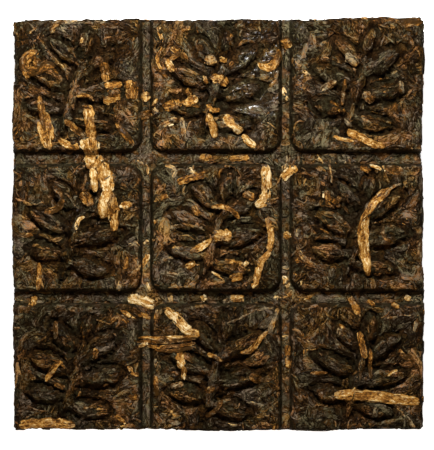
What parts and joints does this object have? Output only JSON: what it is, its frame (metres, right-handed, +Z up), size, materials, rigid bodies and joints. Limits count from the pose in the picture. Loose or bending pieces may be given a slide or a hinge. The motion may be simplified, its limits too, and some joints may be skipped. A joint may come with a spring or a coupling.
{
  "type": "pressed pu erh tea brick",
  "caption": "Square brick of pressed tea leaf, scored by grooves into a grid of tablets to break off, each tablet with a raised leaf sprig.",
  "frame": {"origin": "middle of the flat underside", "axes": "+Z up out of the scored face, +X and +Y along the brick's sides, +Y towards the top of the sprigs"},
  "size_m": [0.1, 0.0998, 0.0115],
  "materials": {
    "pressed_leaf": "dry pressed leaf, dull with small glints"
  },
  "bodies": {
    "root": {"tea_brick": "pressed_leaf"}
  },
  "joints": []
}
